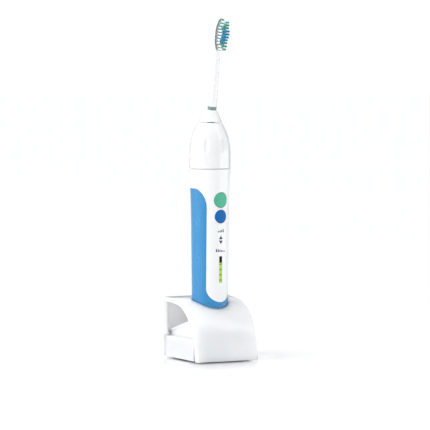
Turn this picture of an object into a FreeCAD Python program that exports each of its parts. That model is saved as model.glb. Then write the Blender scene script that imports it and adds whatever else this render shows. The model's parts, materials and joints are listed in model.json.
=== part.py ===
"""Electric toothbrush standing in its charging stand, as a parametric assembly of separate pieces.

Millimetres. +Z is up and -Y is the front. The origin is the middle of the stand's footprint, on the
surface it stands on. Three frames are used: the stand's own, the handle's (its round seat lets it sit
turned a little about its own axis) and the stem's (its origin is the pivot, and its Z runs up the stem).
"""
import FreeCAD, Part
import math
import os

import Sketcher

doc = FreeCAD.newDocument("Toothbrush")

# ---------------------------------------------------------------------------------------------
# Driving dimensions: every cell holds one plain number and has an alias of the same name.
# ---------------------------------------------------------------------------------------------
DRIVING = {
    # stand; heights are above a datum plane that lies datum_height over the surface it stands on
    "datum_height": 0.75,
    "stand_width": 49.4,
    "stand_half_depth": 28.75,
    "stand_height": 43.2,
    "stand_lift": 0.1,
    "stand_wall": 2.8,
    "rib_depth": 4.4,
    "rib_thick": 1.8,
    "front_wall": 5.2,
    "front_bow_radius": 170.0,
    "front_lean_radius": 114.0,
    "corner_radius": 1.2,
    "back_round_radius": 2.4,
    "seat_offset": 0.9,
    "seat_radius": 13.45,
    "seat_wall": 2.0,
    "seat_floor": 15.0,
    "module_width": 47.0,
    "module_bottom": 0.2,
    "module_shoulder": 15.5,
    "module_wall": 1.6,
    "wedge_width": 39.4,
    "wedge_back_top": 19.0,
    "wedge_front_top": 29.0,
    "lip_overhang": 1.0,
    "lip_thick": 1.3,
    "spigot_radius": 4.2,
    "spigot_rise": 6.0,
    "plate_bottom": 0.35,
    "plate_thick": 1.2,
    "foot_radius": 4.2,
    "foot_spread_x": 15.5,
    "foot_spread_y": 15.0,
    "screw_spread_x": 18.6,
    "screw_spread_y": 5.5,
    "screw_radius": 1.2,
    "boss_radius": 2.8,
    "rod_radius": 2.9,
    "spool_radius": 10.0,
    "spool_hub_radius": 4.6,
    "coil_radius": 9.2,
    "spool_bottom": 3.2,
    "spool_top": 13.0,
    "gland_height": 9.0,
    "gland_radius": 3.2,
    "cord_radius": 1.9,
    # handle
    "handle_turn": 8.0,
    "handle_bottom": 15.05,
    "cap_top": 20.1,
    "handle_low_radius": 12.9,
    "handle_waist_radius": 13.6,
    "handle_waist": 99.6,
    "handle_top": 136.45,
    "handle_top_radius": 15.0,
    "grip_thick": 1.3,
    "grip_top": 122.7,
    "panel_half_width": 9.7,
    "panel_round_centre": 50.8,
    "panel_flare_start": 108.0,
    "panel_flare_radius": 27.0,
    "handle_bore_radius": 10.6,
    "neck_bore_radius": 10.2,
    "neck_radius": 12.0,
    "neck_top": 146.8,
    "neck_roof": 1.5,
    "thread_pitch": 3.0,
    "thread_depth": 0.85,
    "thread_gap": 0.25,
    "power_height": 114.4,
    "power_radius": 5.55,
    "mode_height": 102.6,
    "mode_radius": 4.75,
    "button_gap": 0.15,
    "button_proud": 0.3,
    "button_ledge": 11.6,
    "button_flange": 0.55,
    "gauge_bottom": 55.0,
    "gauge_top": 74.0,
    "gauge_split": 69.4,
    "gauge_half_width": 1.25,
    "cell_radius": 7.1,
    "cell_bottom": 28.0,
    "cell_length": 50.0,
    "cell_offset": 2.5,
    "board_front": 6.4,
    "board_thick": 1.4,
    "board_half_width": 8.0,
    "cradle_radius": 10.4,
    "cradle_wall": 0.7,
    # brush head
    "pivot_height": 163.0,
    "stem_lean": 9.1,
    "nut_bottom": 136.75,
    "nut_straight_top": 149.0,
    "nut_bend_radius": 13.1,
    "nut_bend_height": 160.7,
    "nut_lip_radius": 8.8,
    "nut_top": 169.6,
    "dimple_count": 8,
    "lip_gap": 0.55,
    "collar_end": 16.2,
    "collar_end_radius": 3.5,
    "ring_height": 2.4,
    "stem_low_radius": 3.1,
    "stem_high_radius": 2.4,
    "head_start": 57.8,
    "oval_low": 59.0,
    "oval_low_half": 2.0,
    "oval_wide_low": 68.5,
    "oval_wide_high": 72.5,
    "oval_high": 80.95,
    "oval_high_half": 2.5,
    "head_half_width": 4.6,
    "head_front": 1.6,
    "head_back": 1.9,
    "rim_inset": 0.1,
    "rim_width": 0.65,
    "rim_proud": 0.5,
    "tuft_radius": 0.72,
    "tuft_pitch": 1.72,
    "reach_row_0": 8.5,
    "reach_row_1": 8.2,
    "reach_row_2": 6.9,
    "reach_row_3": 7.2,
    "reach_row_4": 8.2,
    "reach_row_5": 8.8,
    "reach_row_6": 8.7,
    "reach_row_7": 7.4,
    "reach_row_8": 8.6,
    "reach_row_9": 9.3,
    "first_row": 60.9,
    "row_pitch": 2.16,
}


class Size:
    """A number that also knows the spreadsheet expression it comes from."""

    def __init__(self, number, text):
        self.number = float(number)
        self.text = text

    def combined(self, other, sign, result):
        return Size(result, f"({self.text} {sign} {text_of(other)})")

    def __add__(self, other):
        return self.combined(other, "+", self.number + number(other))

    def __sub__(self, other):
        return self.combined(other, "-", self.number - number(other))

    def __mul__(self, other):
        return self.combined(other, "*", self.number * number(other))

    def __truediv__(self, other):
        return self.combined(other, "/", self.number / number(other))

    def __radd__(self, other):
        return self + other

    def __rsub__(self, other):
        return self * -1 + other

    def __rmul__(self, other):
        return self * other

    def __neg__(self):
        return self * -1


def number(value):
    """The plain number of a Size or of a number."""
    return value.number if isinstance(value, Size) else float(value)


def text_of(value):
    """The expression of a Size or of a number."""
    return value.text if isinstance(value, Size) else f"({value:.6f})"


class Sheet:
    """The document's spreadsheet: each driving dimension is an attribute that gives its Size."""

    def __init__(self, cells):
        self.page = doc.addObject("Spreadsheet::Sheet", "Sizes")
        for row, (alias, value) in enumerate(cells.items(), start=1):
            self.page.set(f"A{row}", alias.replace("_", " "))
            self.page.set(f"B{row}", str(value))
            self.page.setAlias(f"B{row}", alias)
            setattr(self, alias, Size(value, f"Sizes.{alias}"))


d = Sheet(DRIVING)
doc.recompute()


# ---------------------------------------------------------------------------------------------
# Frames
# ---------------------------------------------------------------------------------------------
def turned(axis, degrees, at=(0, 0, 0)):
    """A placement at a point, turned about an axis."""
    return FreeCAD.Placement(FreeCAD.Vector(*at), FreeCAD.Rotation(FreeCAD.Vector(*axis), degrees))


def moved(x, y, z):
    """A placement that only moves."""
    return turned((0, 0, 1), 0, (number(x), number(y), number(z)))


STAND = moved(0, 0, d.datum_height)
SEAT = moved(0, d.seat_offset, d.datum_height)
HANDLE = turned((0, 0, 1), d.handle_turn.number, (0, d.seat_offset.number, d.datum_height.number))
STEM = HANDLE * turned((1, 0, 0), d.stem_lean.number, (0, 0, d.pivot_height.number))


# ---------------------------------------------------------------------------------------------
# Building blocks
# ---------------------------------------------------------------------------------------------
def bind(thing, **sizes):
    """Set properties of an object, and bind those that come from the sheet."""
    for name, value in sizes.items():
        setattr(thing, name, number(value))
        if isinstance(value, Size):
            thing.setExpression(name, value.text)
    return thing


def new_body(label, frame=STAND):
    """An empty body at a frame."""
    body = doc.addObject("PartDesign::Body", label)
    body.Label = label
    body.Placement = frame
    return body


def sketch_on(body, role, offset=0):
    """A sketch on one of the body's own origin planes, shifted along the plane's normal."""
    sketch = body.newObject("Sketcher::SketchObject", f"{body.Name}_sketch")
    plane = next(item for item in body.Origin.OriginFeatures if item.Role == role)
    sketch.AttachmentSupport = [(plane, "")]
    sketch.MapMode = "FlatFace"
    sketch.AttachmentOffset = moved(0, 0, offset)
    if isinstance(offset, Size):
        sketch.setExpression(".AttachmentOffset.Base.z", offset.text)
    return sketch


def arc_through(start, end, radius):
    """Centre of the short arc from start to end; a positive radius turns left on the way."""
    chord = end - start
    across = FreeCAD.Vector(-chord.y, chord.x, 0).normalize()
    rise = math.sqrt(radius * radius - chord.Length * chord.Length / 4)
    return (start + end) * 0.5 + across * math.copysign(rise, radius)


def smooth_radius(start, end, direction):
    """Radius of the arc that leaves start along a direction and ends at end (positive turns left)."""
    chord = end - start
    left = FreeCAD.Vector(-direction.y, direction.x, 0)
    return chord.Length * chord.Length / (2 * left.dot(chord))


def outline(sketch, points):
    """Draw a closed outline whose corners are fixed by sheet sizes.

    A point is (x, y) at the end of a straight edge, (x, y, radius) at the end of an arc, whose radius is
    positive where it turns left, or (x, y, "smooth") at the end of an arc tangent to the edge before it.
    """
    first = sketch.GeometryCount
    count = len(points)
    corners = [FreeCAD.Vector(number(point[0]), number(point[1]), 0) for point in points]
    ends = []
    direction = None
    for index in range(count):
        start = corners[index]
        end = corners[(index + 1) % count]
        point = points[(index + 1) % count]
        how = point[2] if len(point) > 2 else None
        if how is None:
            sketch.addGeometry(Part.LineSegment(start, end))
            ends.append((1, 2))
            direction = (end - start).normalize()
            continue
        radius = smooth_radius(start, end, direction) if how == "smooth" else number(how)
        centre = arc_through(start, end, radius)
        circle = Part.Circle(centre, FreeCAD.Vector(0, 0, 1), abs(radius))
        angles = [math.atan2(spot.y - centre.y, spot.x - centre.x) for spot in (start, end)]
        if radius < 0:
            angles.reverse()
        if angles[1] < angles[0]:
            angles[1] += 2 * math.pi
        sketch.addGeometry(Part.ArcOfCircle(circle, angles[0], angles[1]))
        ends.append((1, 2) if radius > 0 else (2, 1))
        outward = (end - centre).normalize()
        side = math.copysign(1, radius)
        direction = FreeCAD.Vector(-outward.y * side, outward.x * side, 0)
    for index in range(count):
        edge = first + index
        before = first + (index - 1) % count
        how = points[(index + 1) % count][2] if len(points[(index + 1) % count]) > 2 else None
        link = "Tangent" if how == "smooth" else "Coincident"
        sketch.addConstraint(Sketcher.Constraint(link, before, ends[index - 1][1], edge, ends[index][0]))
        for kind, value in (("DistanceX", points[index][0]), ("DistanceY", points[index][1])):
            fix(sketch, Sketcher.Constraint(kind, -1, 1, edge, ends[index][0], number(value)), value)
        if how not in (None, "smooth"):
            fix(sketch, Sketcher.Constraint("Radius", edge, abs(number(how))), how)


def fix(sketch, constraint, value):
    """Add a sized constraint, bound to the sheet where its size comes from there."""
    index = sketch.addConstraint(constraint)
    if isinstance(value, Size):
        sign = -1 if constraint.Type == "Radius" and value.number < 0 else 1
        sketch.setExpression(f"Constraints[{index}]", (value * sign).text)


def circle(sketch, x, y, radius):
    """Draw a circle whose centre and radius are fixed by sheet sizes."""
    centre = FreeCAD.Vector(number(x), number(y), 0)
    edge = sketch.addGeometry(Part.Circle(centre, FreeCAD.Vector(0, 0, 1), number(radius)))
    fix(sketch, Sketcher.Constraint("DistanceX", -1, 1, edge, 3, number(x)), x)
    fix(sketch, Sketcher.Constraint("DistanceY", -1, 1, edge, 3, number(y)), y)
    fix(sketch, Sketcher.Constraint("Radius", edge, number(radius)), radius)


def rectangle(sketch, x0, y0, x1, y1):
    """Draw an upright rectangle."""
    outline(sketch, [(x0, y0), (x1, y0), (x1, y1), (x0, y1)])


def pad(body, sketch, length, symmetric=False):
    """Add the sketch's area, swept along its normal."""
    feature = body.newObject("PartDesign::Pad", f"{body.Name}_pad")
    feature.Profile = (sketch, [""])
    feature.SideType = "Symmetric" if symmetric else "One side"
    bind(feature, Length=length)
    doc.recompute()
    return feature


def pocket(body, sketch, length=None, symmetric=False, reverse=False):
    """Remove the sketch's area, swept against its normal, or through everything without a length."""
    before = body.Shape.Volume
    feature = body.newObject("PartDesign::Pocket", f"{body.Name}_pocket")
    feature.Profile = (sketch, [""])
    feature.SideType = "Symmetric" if symmetric else "One side"
    feature.Reversed = reverse
    if length is None:
        feature.Type = "ThroughAll"
    else:
        bind(feature, Length=length)
    doc.recompute()
    if body.Shape.Volume >= before:
        raise RuntimeError(f"{feature.Name} cuts nothing")
    return feature


def revolve(body, sketch, angle=360, axis="V_Axis", symmetric=False):
    """Turn the sketch's area about a line of the sketch."""
    feature = body.newObject("PartDesign::Revolution", f"{body.Name}_turn")
    feature.Profile = (sketch, [""])
    feature.ReferenceAxis = (sketch, [axis])
    feature.Midplane = symmetric
    bind(feature, Angle=angle)
    doc.recompute()
    return feature


def turned_body(label, frame, points):
    """A body of revolution about its frame's Z, from an outline of (radius, height) points."""
    body = new_body(label, frame)
    sketch = sketch_on(body, "XZ_Plane")
    outline(sketch, points)
    revolve(body, sketch)
    return body


def slab(label, frame, role, points, length, offset=0, symmetric=False):
    """A body that is one outline pushed along its plane's normal."""
    body = new_body(label, frame)
    sketch = sketch_on(body, role, offset)
    outline(sketch, points)
    pad(body, sketch, length, symmetric)
    return body


def block(label, frame, low, high):
    """A Part box between two corners of a frame."""
    box = doc.addObject("Part::Box", label)
    bind(box, Length=high[0] - low[0], Width=high[1] - low[1], Height=high[2] - low[2])
    box.Placement = frame * moved(*low)
    return box


def rod(label, frame, radius, length, at=(0, 0, 0), along="Z"):
    """A Part cylinder from a point of a frame along the frame's Z, or forwards along its -Y."""
    cylinder = doc.addObject("Part::Cylinder", label)
    bind(cylinder, Radius=radius, Height=length)
    tilt = turned((1, 0, 0), 90 if along == "front" else 0)
    cylinder.Placement = frame * moved(*at) * tilt
    return cylinder


def tube(label, frame, outer, inner, low, high):
    """A plain ring about a frame's Z."""
    return turned_body(label, frame, [(inner, low), (outer, low), (outer, high), (inner, high)])


def cut(label, base, *tools):
    """Base without each tool in turn."""
    result = base
    for index, tool in enumerate(tools):
        step = doc.addObject("Part::Cut", label if index == len(tools) - 1 else f"{label}_step")
        step.Base = result
        step.Tool = tool
        result = step
    return result


def common(label, base, tool):
    """What base and tool share."""
    result = doc.addObject("Part::Common", label)
    result.Base = base
    result.Tool = tool
    return result


def together(label, shapes, kind="Part::MultiFuse"):
    """Several shapes as one object: fused, or as separate solids side by side for Part::Compound."""
    result = doc.addObject(kind, label)
    if kind == "Part::Compound":
        result.Links = shapes
    else:
        result.Shapes = shapes
    return result


SUBPARTS = []


def keep(shape, label):
    """Make an object one of the assembly's sub-parts."""
    shape.Label = label
    SUBPARTS.append(shape)
    return shape


# ---------------------------------------------------------------------------------------------
# Charging stand
# ---------------------------------------------------------------------------------------------
def arch_profile(front, top, bottom):
    """The arch from the side, from its front foot to where its top is level, inset from the outer face."""
    y0 = front - d.stand_half_depth
    z0 = d.stand_height - top
    return [
        (y0, bottom),
        (y0 + 4.6, z0 - 22.8, -d.front_lean_radius),
        (y0 + 13.0, z0 - 9.2, "smooth"),
        (y0 + 28.2, z0 - 1.5, "smooth"),
        (y0 + 43.0, z0, "smooth"),
    ]


def build_stand_shell():
    """One-piece arch: a bowed front that curls over into a level top and a back wall, open at both sides,
    with a round sleeve under the top that holds the handle upright."""
    block_body = new_body("stand_block")
    side = sketch_on(block_body, "YZ_Plane")
    behind = d.stand_half_depth + 4.0
    outline(side, [*arch_profile(0, 0, d.stand_lift), (behind, d.stand_height), (behind, d.stand_lift)])
    axis_y = d.front_bow_radius - d.stand_half_depth
    base = FreeCAD.Vector(axis_y.number, 0, 0)
    line = side.addGeometry(Part.LineSegment(base, base + FreeCAD.Vector(0, 10, 0)), True)
    side.addConstraint(Sketcher.Constraint("Vertical", line))
    fix(side, Sketcher.Constraint("DistanceX", -1, 1, line, 1, axis_y.number), axis_y)
    revolve(block_body, side, 34, "Axis0", symmetric=True)

    half = d.stand_width / 2
    back = d.stand_half_depth
    far = d.stand_half_depth * 2
    plan = sketch_on(block_body, "XY_Plane")
    rectangle(plan, -far, -far, far, far)
    outline(plan, [
        (-half, -back - 10), (half, -back - 10), (half, back - d.corner_radius),
        (half - d.corner_radius, back, d.corner_radius), (d.corner_radius - half, back),
        (-half, back - d.corner_radius, d.corner_radius),
    ])
    pocket(block_body, plan, symmetric=True)

    inside = new_body("stand_void")
    side = sketch_on(inside, "YZ_Plane")
    inner_back = back - d.stand_wall
    low = d.stand_lift - 2
    outline(side, [
        *arch_profile(d.front_wall, d.stand_wall, low),
        (inner_back, d.stand_height - d.stand_wall), (inner_back, low),
    ])
    pad(inside, side, d.stand_width + 4, symmetric=True)
    hanging = sketch_on(inside, "XY_Plane", d.seat_floor)
    circle(hanging, 0, d.seat_offset, d.seat_radius + d.seat_wall)
    pocket(inside, hanging, reverse=True)

    ribs = []
    for side in (-1, 1):
        low_x, high_x = sorted((side * (half - d.rib_thick).number, side * (half + 3).number))
        ribs.append(block(f"rib_{side}", STAND, (low_x, inner_back - d.rib_depth, d.module_shoulder + 0.5),
                          (high_x, inner_back + 1, d.stand_height)))
    inside = cut("stand_void_ribbed", inside, *ribs)

    well = rod("handle_well", SEAT, d.seat_radius, d.stand_height, (0, 0, d.seat_floor - 1))
    inlet = rod("inlet_hole", STAND, d.gland_radius, 8, (0, back + 2, d.gland_height), along="front")
    hollow = cut("stand_hollow", block_body, inside, well, inlet)
    rounded = doc.addObject("Part::Fillet", "stand_rounded")
    rounded.Base = hollow
    doc.recompute()
    rounded.Edges = [
        (index, radius, radius)
        for index, edge in enumerate(hollow.Shape.Edges, start=1)
        for radius in [back_edge_radius(edge)]
        if radius > 0
    ]
    keep(rounded, "stand_shell")


def back_edge_radius(edge):
    """How far an edge of the arch is rounded: the two long edges of its back face, and no other."""
    middle = edge.valueAt((edge.FirstParameter + edge.LastParameter) / 2)
    if abs(middle.y - d.stand_half_depth.number) > 0.01 or edge.Length < d.stand_width.number / 2:
        return 0
    height = middle.z - d.datum_height.number
    if abs(height - d.stand_lift.number) < 0.01:
        return d.back_round_radius.number
    return d.corner_radius.number if abs(height - d.stand_height.number) < 0.01 else 0


def build_charger_housing():
    """Charger body inside the arch: a low box, a wedge that rises to the front, and the spigot on which
    the handle stands. Bosses inside take the screws from below."""
    body = new_body("charger_case")
    half = d.module_width / 2
    front = d.front_wall - d.stand_half_depth + 4.9
    back = d.stand_half_depth - d.stand_wall - 0.3
    plan = sketch_on(body, "XY_Plane", d.module_bottom)
    rectangle(plan, -half, front, half, back)
    pad(body, plan, d.module_shoulder - d.module_bottom)
    side = sketch_on(body, "YZ_Plane")
    crest = front + 9.0
    outline(side, [
        (front + 0.4, d.module_shoulder - 1), (back, d.module_shoulder - 1), (back, d.wedge_back_top),
        (crest, d.wedge_front_top), (front + 0.4, d.module_shoulder + 1.0),
    ])
    pad(body, side, d.wedge_width, symmetric=True)
    lip = sketch_on(body, "YZ_Plane")
    outline(lip, [
        (back, d.wedge_back_top - d.lip_thick), (back, d.wedge_back_top), (crest, d.wedge_front_top),
        (crest, d.wedge_front_top - d.lip_thick),
    ])
    pad(body, lip, d.wedge_width + d.lip_overhang * 2, symmetric=True)
    sleeve = sketch_on(body, "XY_Plane", d.seat_floor)
    circle(sleeve, 0, d.seat_offset, d.seat_radius + d.seat_wall + 0.05)
    pocket(body, sleeve, reverse=True)
    hollow = sketch_on(body, "XY_Plane", d.module_bottom)
    wall = d.module_wall
    rectangle(hollow, wall - half, front + wall, half - wall, back - wall)
    pocket(body, hollow, d.seat_floor - d.module_bottom - wall, reverse=True)
    boss_bottom = d.plate_bottom + d.plate_thick + 0.05
    boss = sketch_on(body, "XY_Plane", boss_bottom)
    for x, y in screw_places():
        circle(boss, x, y, d.boss_radius)
    pad(body, boss, d.seat_floor - boss_bottom - 0.5)
    thread = sketch_on(body, "XY_Plane", boss_bottom)
    for x, y in screw_places():
        circle(thread, x, y, d.screw_radius)
    pocket(body, thread, 8.4, reverse=True)
    spigot = sketch_on(body, "XY_Plane", d.seat_floor - 0.5)
    circle(spigot, 0, d.seat_offset, d.spigot_radius)
    pad(body, spigot, d.spigot_rise + 0.5)
    core = sketch_on(body, "XY_Plane", d.spool_bottom)
    circle(core, 0, d.seat_offset, d.rod_radius)
    pocket(body, core, d.seat_floor + d.spigot_rise - 1.0 - d.spool_bottom, reverse=True)
    lead = rod("lead_hole", STAND, d.cord_radius + 0.3, 6, (0, back + 1, d.gland_height), along="front")
    keep(cut("charger_housing_drilled", body, lead), "charger_housing")


def screw_places():
    """The four screws that close the stand from below."""
    return [
        (d.screw_spread_x * side, d.seat_offset + d.screw_spread_y * end)
        for side in (-1, 1)
        for end in (-1, 1)
    ]


def build_base_plate():
    """Flat plate let into the charger case from below, with its screws, and the four feet under it."""
    inset = d.module_wall + 0.15
    half = d.module_width / 2 - inset
    front = d.front_wall - d.stand_half_depth + 4.9 + inset
    back = d.stand_half_depth - d.stand_wall - 0.3 - inset
    top = d.plate_bottom + d.plate_thick
    plate = block("plate_blank", STAND, (-half, front, d.plate_bottom), (half, back, top))
    cones = []
    for index, (x, y) in enumerate(screw_places()):
        cone = doc.addObject("Part::Cone", f"plate_sink_{index}")
        bind(cone, Radius1=d.screw_radius * 2, Radius2=d.screw_radius, Height=d.plate_thick)
        cone.Placement = STAND * moved(x, y, d.plate_bottom)
        cones.append(cone)
    keep(cut("base_plate", plate, *cones), "base_plate")
    screws = []
    for index, (x, y) in enumerate(screw_places()):
        head = doc.addObject("Part::Cone", f"screw_head_{index}")
        bind(head, Radius1=d.screw_radius * 2, Radius2=d.screw_radius, Height=d.plate_thick)
        head.Placement = STAND * moved(x, y, d.plate_bottom)
        shank = rod(f"screw_shank_{index}", STAND, d.screw_radius, 7.5, (x, y, top))
        slot = block(f"screw_slot_{index}", STAND, (x - 1.5, y - 0.3, d.plate_bottom - 0.1),
                     (x + 1.5, y + 0.3, d.plate_bottom + 0.5))
        screws.append(cut(f"screw_{index}", together(f"screw_whole_{index}", [head, shank]), slot))
    keep(together("base_screws", screws, "Part::Compound"), "base_screws")
    feet = [
        rod(f"foot_{side}_{end}", STAND, d.foot_radius, d.plate_bottom + d.datum_height,
            (d.foot_spread_x * side, (front + back) / 2 + d.foot_spread_y * end, -d.datum_height))
        for side in (-1, 1)
        for end in (-1, 1)
    ]
    keep(together("rubber_feet", feet, "Part::Compound"), "rubber_feet")


def build_charger_inside():
    """Primary coil on its spool round a ferrite rod, and the small driver board behind it."""
    spool = turned_body("coil_spool", SEAT, [
        (d.rod_radius, d.spool_bottom), (d.spool_radius, d.spool_bottom),
        (d.spool_radius, d.spool_bottom + 1), (d.spool_hub_radius, d.spool_bottom + 1),
        (d.spool_hub_radius, d.spool_top - 1), (d.spool_radius, d.spool_top - 1),
        (d.spool_radius, d.spool_top), (d.rod_radius, d.spool_top),
    ])
    keep(spool, "coil_spool")
    low = d.spool_bottom + 1
    keep(tube("primary_coil", SEAT, d.coil_radius, d.spool_hub_radius, low, d.spool_top - 1), "primary_coil")
    height = d.seat_floor + d.spigot_rise - 1.0 - d.spool_bottom
    keep(rod("ferrite_rod", SEAT, d.rod_radius, height, (0, 0, d.spool_bottom)), "ferrite_rod")
    low_y = d.seat_offset + d.spool_radius + 1.6
    keep(block("driver_board", STAND, (-15.0, low_y, 4.2), (15.0, low_y + 9.0, 5.8)), "driver_board")
    keep(block("tuning_capacitor", STAND, (-10.5, low_y + 1.6, 5.8), (-1.5, low_y + 6.8, 11.6)),
         "tuning_capacitor")
    keep(rod("smoothing_capacitor", STAND, 2.9, 6.4, (4.2, low_y + 4.4, 5.8)), "smoothing_capacitor")


def build_cord_gland():
    """Bush in the back wall through which the mains lead enters; it ends flush with the wall."""
    tail = STAND * moved(0, d.stand_half_depth, d.gland_height) * turned((1, 0, 0), 90)
    step = d.stand_wall
    gland = turned_body("cord_gland", tail, [
        (d.cord_radius, 0), (d.gland_radius, 0), (d.gland_radius, step), (d.cord_radius, step),
    ])
    keep(gland, "cord_gland")


# ---------------------------------------------------------------------------------------------
# Handle
# ---------------------------------------------------------------------------------------------
def handle_side():
    """The handle's silhouette from just above its end cap to its shoulder: nearly straight, then flaring."""
    return [
        (d.handle_low_radius - 0.2, d.cap_top), (d.handle_low_radius, d.cap_top + 8),
        (d.handle_waist_radius, d.handle_waist), (d.handle_top_radius, d.handle_top, "smooth"),
    ]


def build_handle_skin():
    """White housing and the soft grip that is moulded round it, flush with it."""
    blank = turned_body("handle_blank", HANDLE, [
        (0, d.cap_top), *handle_side(), (0, d.handle_top),
    ])
    core = turned_body("grip_core", HANDLE, [
        (0, d.cap_top - 1),
        *[(point[0] - d.grip_thick, *point[1:]) for point in handle_side()], (0, d.handle_top),
    ])
    wide = d.handle_top_radius + 1
    rise = math.sqrt(d.panel_flare_radius.number ** 2
                     - (d.panel_flare_radius.number - wide.number + d.panel_half_width.number) ** 2)
    flare_top = d.panel_flare_start + rise
    half = d.panel_half_width
    low = d.panel_round_centre
    window = slab("panel_window", HANDLE, "XZ_Plane", [
        (-half, d.panel_flare_start, -d.panel_flare_radius), (-half, low), (half, low, "smooth"),
        (half, d.panel_flare_start), (wide, flare_top, -d.panel_flare_radius),
        (wide, d.handle_top + 2), (-wide, d.handle_top + 2), (-wide, flare_top),
    ], 20)
    above = block("above_grip", HANDLE, (-20, -20, d.grip_top), (20, 20, d.handle_top + 1))
    skin = cut("grip_tube", blank, core, above, window)
    keep(skin, "grip")

    ledge = d.button_ledge
    cutters = [
        rod("body_bore", HANDLE, d.handle_bore_radius, 120, (0, 0, d.cap_top - 0.5)),
        block("keypad_bed", HANDLE, (-6.4, -9.95, 95.9), (6.4, -7.5, 121.5)),
        block("gauge_slot", HANDLE, (-d.gauge_half_width, -16, d.gauge_bottom),
              (d.gauge_half_width, -7.5, d.gauge_top)),
    ]
    for name, height, radius in button_list():
        wide = radius + d.button_gap
        cutters.append(rod(f"{name}_hole", HANDLE, wide, 10, (0, -7, height), along="front"))
        cutters.append(rod(f"{name}_counterbore", HANDLE, radius + d.button_flange + 0.15, ledge - 7,
                           (0, -7, height), along="front"))
    keep(cut("handle_housing", blank, skin, *cutters), "handle_housing")


def build_neck_collar():
    """Threaded collar bonded into the top of the housing; its closed roof keeps water off the drive."""
    roof = d.neck_top - d.neck_roof
    low = d.handle_top - 6
    neck = turned_body("neck_blank", HANDLE, [
        (d.neck_bore_radius, low), (d.handle_bore_radius, low), (d.handle_bore_radius, d.handle_top),
        (d.neck_radius, d.handle_top), (d.neck_radius, d.neck_top - 0.6),
        (d.neck_radius - 0.6, d.neck_top), (0, d.neck_top), (0, roof), (d.neck_bore_radius, roof),
    ])
    cut_thread(neck, "AdditiveHelix", 0, 0)
    keep(neck, "neck_collar")


def button_list():
    """Name, height and radius of the two buttons."""
    return [("power_button", d.power_height, d.power_radius), ("mode_button", d.mode_height, d.mode_radius)]


def cut_thread(body, kind, gap, lead_in):
    """Give a body the thread's ridge, or with a gap all round, the groove that the ridge runs in.

    lead_in is how far below the ridge's start the sweep begins, in whole pitches."""
    sketch = sketch_on(body, "XZ_Plane")
    root = d.neck_radius - 0.4
    crest = d.neck_radius + d.thread_depth + gap
    start = d.handle_top + 3.1 - d.thread_pitch * lead_in
    outline(sketch, [
        (root, start - gap), (crest, start + 0.5 - gap), (crest, start + 1.0 + gap),
        (root, start + 1.5 + gap),
    ])
    helix = body.newObject(f"PartDesign::{kind}", f"{body.Name}_thread")
    helix.Profile = (sketch, [""])
    helix.ReferenceAxis = (sketch, ["V_Axis"])
    helix.Mode = "pitch-height-angle"
    bind(helix, Pitch=d.thread_pitch, Height=d.thread_pitch * (1.8 + lead_in))
    doc.recompute()


def build_buttons():
    """Two caps whose faces follow the handle's curve, each held in by a flange behind its hole."""
    for name, height, radius in button_list():
        stem = rod(f"{name}_stem", HANDLE, radius, 5, (0, -10.8, height), along="front")
        face = rod(f"{name}_face", HANDLE, d.handle_waist_radius + d.button_proud + 0.2, 20,
                   (0, 0, height - 10))
        flange = rod(f"{name}_flange", HANDLE, radius + d.button_flange, 0.7, (0, -10.8, height),
                     along="front")
        keep(together(name, [common(f"{name}_cap", stem, face), flange]), name)
    pads = slab("keypad_seal", HANDLE, "XZ_Plane", [
        (-5.2, 96.2), (5.2, 96.2), (6.2, 97.4), (6.2, 120.0), (5.2, 121.2), (-5.2, 121.2),
        (-6.2, 120.0), (-6.2, 97.4),
    ], 0.7, offset=9.2)
    keep(pads, "keypad_seal")


def build_gauge():
    """Battery gauge: a green light bar behind the front face, with a dark cap over its top step."""
    face = rod("gauge_face", HANDLE, d.handle_low_radius + 0.3, 60, (0, 0, 40))
    gap = 0.05
    half = d.gauge_half_width - gap
    for name, low, high in (("gauge_lens", d.gauge_bottom + gap, d.gauge_split),
                            ("gauge_cap", d.gauge_split, d.gauge_top - gap)):
        bar = block(f"{name}_bar", HANDLE, (-half, -16, low), (half, -8.2, high))
        keep(common(name, bar, face), name)


def build_end_cap():
    """Cap that closes the handle from below, with the recess that drops over the stand's spigot."""
    recess = d.spigot_radius + 0.45
    low = d.handle_bottom
    edge = d.handle_low_radius - 0.2
    cap = turned_body("end_cap", HANDLE, [
        (recess, low), (edge - 1.4, low), (edge, low + 1.4, 1.4), (edge, d.cap_top),
        (d.handle_bore_radius, d.cap_top), (d.handle_bore_radius, d.cap_top + 1.4),
        (9.7, d.cap_top + 1.4), (9.7, d.cap_top + 2.6), (d.handle_bore_radius, d.cap_top + 2.6),
        (d.handle_bore_radius, d.cap_top + 4.0), (8.9, d.cap_top + 4.0), (8.9, low + 1.6),
        (recess + 1.2, low + 1.6), (recess + 1.2, low + 7.8), (0, low + 7.8), (0, low + 6.6),
        (recess, low + 6.6),
    ])
    keep(cap, "end_cap")
    seal = doc.addObject("Part::Torus", "cap_seal")
    bind(seal, Radius1=d.handle_bore_radius - 0.48, Radius2=0.42)
    seal.Placement = HANDLE * moved(0, 0, d.cap_top + 2.0)
    keep(seal, "cap_seal")
    coil = tube("receiver_coil", HANDLE, 8.6, recess + 1.25, low + 1.7, low + 7.6)
    keep(coil, "receiver_coil")
    ring = doc.addObject("Part::Torus", "neck_seal")
    bind(ring, Radius1=d.neck_radius + 0.5, Radius2=0.45)
    ring.Placement = HANDLE * moved(0, 0, d.handle_top + 0.45)
    keep(ring, "neck_seal")


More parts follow.
